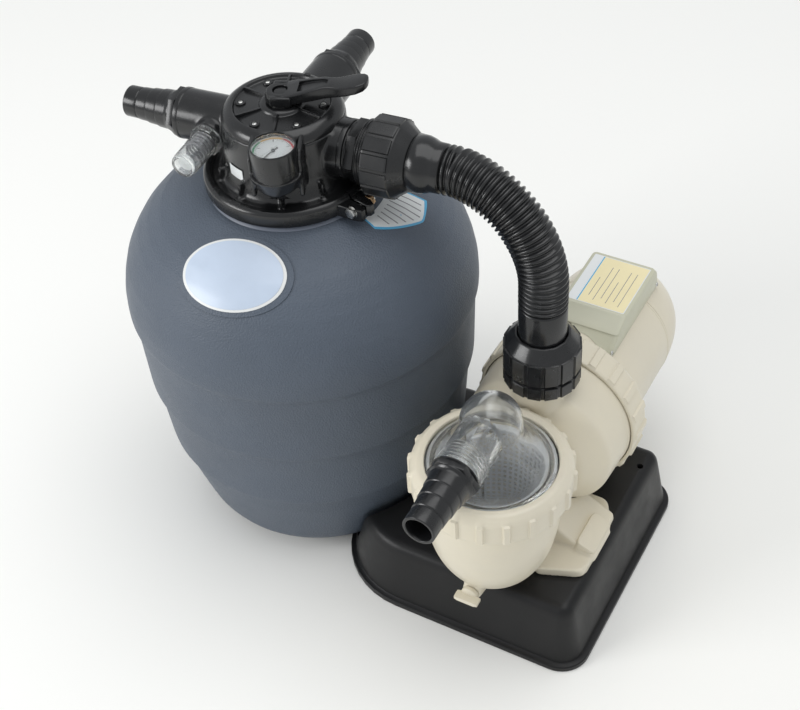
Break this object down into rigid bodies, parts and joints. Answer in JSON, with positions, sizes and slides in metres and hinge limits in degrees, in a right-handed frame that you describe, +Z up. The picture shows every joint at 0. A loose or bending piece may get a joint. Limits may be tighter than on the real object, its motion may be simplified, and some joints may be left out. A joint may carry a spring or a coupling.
{
  "type": "pool filter pump set",
  "caption": "Round sand filter tank with a top selector valve, joined by a corrugated hose to a motor pump with a clear-lidded strainer, both on a moulded base",
  "frame": {"origin": "on the floor, on the upright axis of the tank, under the base's round lobe", "axes": "+Z up; +Y along the pump shaft from strainer to motor; +X from the tank to the pump"},
  "size_m": [0.618, 0.5693, 0.5865],
  "materials": {
    "base": "moulded, slight sheen",
    "tank": "leather-grain blow-moulded",
    "black": "polished moulded",
    "cream": "semi-gloss moulded",
    "clear": "clear polycarbonate",
    "white": "plain moulded",
    "rubber": "moulded seal",
    "steel": "zinc plated",
    "brass": "turned",
    "copper": "wound copper and laminations",
    "hose": "corrugated moulded"
  },
  "bodies": {
    "root": {"base": "base", "tank": "tank", "lateral_assembly": "black", "standpipe": "white", "top_diffuser": "black", "clamp_half_back": "black", "clamp_half_front": "black", "clamp_bolt_right": "steel", "clamp_bolt_left": "steel", "clamp_nut_right": "brass", "clamp_nut_left": "brass", "neck_oring": "rubber", "valve_body": "black", "cover_oring": "rubber", "valve_cover": "black", "spider_gasket": "rubber", "gauge_case": "black", "gauge_dial": "white", "gauge_lens": "clear", "sight_glass": "clear", "waste_hose_tail": "black", "return_hose_tail": "black", "pump_port_adapter": "black", "connecting_hose": "hose", "lower_union_collar": "black", "pump_housing": "cream", "lid_oring": "rubber", "strainer_basket": "white", "pump_foot": "cream", "motor_foot": "black", "diffuser": "black", "shaft_seal": "rubber", "seal_plate": "black", "motor_ring": "cream", "motor_housing": "cream", "front_bearing": "steel", "rear_bearing": "steel", "stator": "copper", "fan_cover": "cream", "terminal_box": "cream", "terminal_lid": "cream", "capacitor": "steel", "cable_gland": "black"},
    "selector": {"thrust_washer": "steel"},
    "valve_stem": {"valve_rotor": "white", "valve_spring": "steel", "handle_pin": "steel"},
    "handle": {"valve_handle": "black"},
    "needle": {"gauge_needle": "black"},
    "upper_nut": {"upper_union_nut": "black"},
    "lower_nut": {"lower_union_nut": "black"},
    "lid_ring": {"lock_ring": "cream"},
    "strainer_lid": {"pump_lid": "clear", "suction_hose_tail": "black"},
    "drain_plug": {"pump_drain_plug": "cream"},
    "shaft": {"motor_shaft": "steel", "motor_rotor": "steel", "impeller": "black", "cooling_fan": "black"},
    "tank_cap": {"tank_drain_cap": "black"}
  },
  "joints": [
    {"name": "valve_turn", "type": "hinge", "parent": "root", "child": "selector", "pos_m": [0, 0, 0.5645], "axis": [0, 0, 1], "continuous": true},
    {"name": "rotor_lift", "type": "slide", "parent": "selector", "child": "valve_stem", "axis": [0, 0, 1], "range_m": [0, 0.003], "deforming": ["valve_spring"]},
    {"name": "handle_press", "type": "hinge", "parent": "valve_stem", "child": "handle", "pos_m": [0, 0, 0.5645], "axis": [-0.3746, 0.9272, 0], "range_deg": [0, 8], "stiffness_Nm_per_rad": 1},
    {"name": "gauge_needle_turn", "type": "hinge", "parent": "root", "child": "needle", "pos_m": [0.03682, -0.0755, 0.5545], "axis": [0, 0, -1], "range_deg": [0, 270], "stiffness_Nm_per_rad": 0.002},
    {"name": "upper_nut_turn", "type": "hinge", "parent": "root", "child": "upper_nut", "pos_m": [0.11954, 0.01046, 0.515], "axis": [0.9962, 0.0872, 0], "continuous": true},
    {"name": "lower_nut_turn", "type": "hinge", "parent": "root", "child": "lower_nut", "pos_m": [0.296, 0.004, 0.325], "axis": [0, 0, 1], "continuous": true},
    {"name": "lock_ring_turn", "type": "hinge", "parent": "root", "child": "lid_ring", "pos_m": [0.296, -0.12, 0.254], "axis": [0, 0, 1], "range_deg": [0, 120]},
    {"name": "lid_swivel", "type": "hinge", "parent": "root", "child": "strainer_lid", "pos_m": [0.296, -0.12, 0.2648], "axis": [0, 0, 1], "range_deg": [-60, 60]},
    {"name": "pump_drain_plug_turn", "type": "hinge", "parent": "root", "child": "drain_plug", "pos_m": [0.296, -0.174, 0.108], "axis": [0, -1, 0], "range_deg": [0, 180]},
    {"name": "tank_drain_cap_turn", "type": "hinge", "parent": "root", "child": "tank_cap", "pos_m": [-0.12587, 0.12587, 0.062], "axis": [-0.7071, 0.7071, 0], "continuous": true},
    {"name": "motor_spin", "type": "hinge", "parent": "root", "child": "shaft", "pos_m": [0.296, 0.1, 0.185], "axis": [0, 1, 0], "continuous": true}
  ],
  "couplings": [
    {"joint": "rotor_lift", "follows": "handle_press", "m_per_rad": 0.021486}
  ]
}
